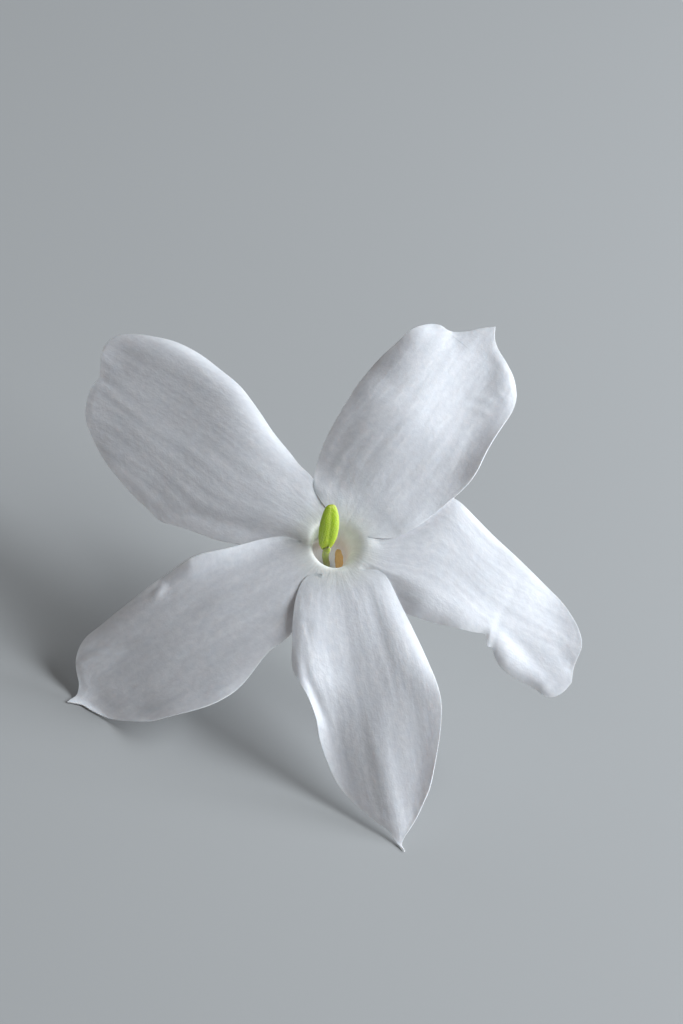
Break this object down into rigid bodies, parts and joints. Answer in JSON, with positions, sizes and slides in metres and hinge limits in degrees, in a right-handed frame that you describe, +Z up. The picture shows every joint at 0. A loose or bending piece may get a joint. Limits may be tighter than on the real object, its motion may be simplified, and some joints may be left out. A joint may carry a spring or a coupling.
{
  "type": "jasmine flower",
  "caption": "Single white jasmine blossom as picked: slender tube opening into spreading lobes, green calyx and short stalk, lying on its lobe tips.",
  "frame": {"origin": "middle of the footprint, on the surface the flower lies on", "axes": "+Z up, -Y towards the side the open flower faces, +X level and to the right as one looks into the flower"},
  "size_m": [0.0422, 0.0376, 0.0271],
  "materials": {
    "petal_white": "velvety matt white petal with fine lengthwise veins",
    "calyx_green": "satin green plant tissue",
    "stalk_green": "satin green plant tissue",
    "stigma_green": "moist bright yellow-green stigma",
    "anther_yellow": "powdery orange-yellow anther"
  },
  "bodies": {
    "root": {"corolla": "petal_white", "calyx": "calyx_green", "pedicel": "stalk_green", "pistil": "stigma_green", "stamen_left": "anther_yellow", "stamen_right": "anther_yellow"}
  },
  "joints": []
}
